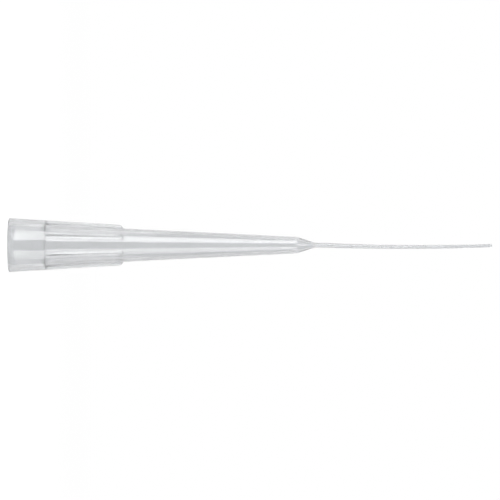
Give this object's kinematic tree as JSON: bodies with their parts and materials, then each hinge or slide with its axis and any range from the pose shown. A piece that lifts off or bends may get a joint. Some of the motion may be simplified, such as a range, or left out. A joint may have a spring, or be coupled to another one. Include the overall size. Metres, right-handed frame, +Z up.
{
  "type": "gel-loading pipette tip",
  "caption": "Slender hollow conical tip with a socket and ribbed collar at its mouth and a long, fine, slightly bowed capillary end.",
  "frame": {"origin": "centre of the mouth, in the plane of the rim that the tip stands on", "axes": "+Z up the tip's axis from the mouth to the fine end; +X is the side that the capillary bows towards and points along one rib"},
  "size_m": [0.0078, 0.0078, 0.07],
  "materials": {
    "clear_plastic": "natural polypropylene, clear with a faint milky haze, smooth from a polished mould"
  },
  "bodies": {
    "root": {"pipette_tip": "clear_plastic"}
  },
  "joints": []
}
